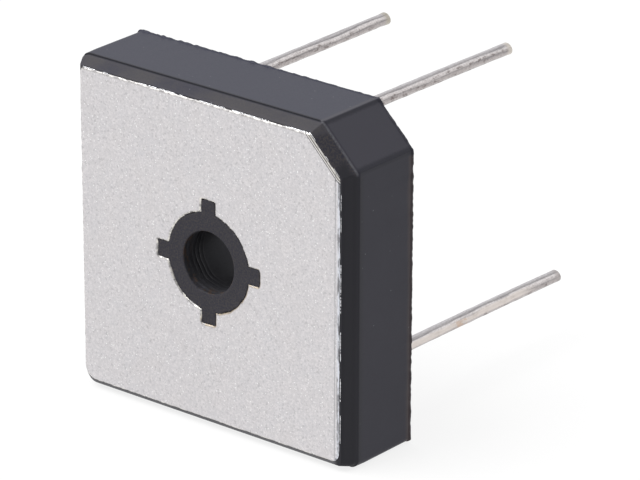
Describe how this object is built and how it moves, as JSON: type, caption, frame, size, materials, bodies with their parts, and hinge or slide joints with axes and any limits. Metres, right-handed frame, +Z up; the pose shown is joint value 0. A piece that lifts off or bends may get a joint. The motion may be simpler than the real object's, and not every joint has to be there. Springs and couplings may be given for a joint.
{
  "type": "bridge rectifier",
  "caption": "Square moulded bridge rectifier with a metal base plate, keyed mounting hole, bevelled corner and straight wire leads.",
  "frame": {"origin": "centre of the mounting hole in the front face of the moulded hub, which lies just behind the outer face of the base plate", "axes": "+X to the right as seen from the plate, +Y from the plate towards the lead side, +Z up; the bevelled corner is at +X, +Z and the part stands on its -Z side wall"},
  "size_m": [0.0289, 0.0358, 0.0289],
  "materials": {
    "compound": "matte black moulding compound",
    "plate_metal": "fine blasted",
    "tinned_wire": "dull hot-dipped tin",
    "copper": "bare copper sheet",
    "silicon": "lapped silicon",
    "solder": "soft solder"
  },
  "bodies": {
    "root": {"body": "compound", "base_plate": "plate_metal", "lead_positive": "tinned_wire", "lead_negative": "tinned_wire", "lead_ac_1": "tinned_wire", "lead_ac_2": "tinned_wire", "positive_frame": "copper", "negative_frame": "copper", "ac_clip_1": "copper", "ac_clip_2": "copper", "chip_1": "silicon", "chip_2": "silicon", "chip_3": "silicon", "chip_4": "silicon", "solder_frame_1": "solder", "solder_frame_2": "solder", "solder_frame_3": "solder", "solder_frame_4": "solder", "solder_clip_1": "solder", "solder_clip_2": "solder", "solder_clip_3": "solder", "solder_clip_4": "solder", "solder_lead_positive": "solder", "solder_lead_negative": "solder", "solder_lead_ac_1": "solder", "solder_lead_ac_2": "solder"}
  },
  "joints": []
}
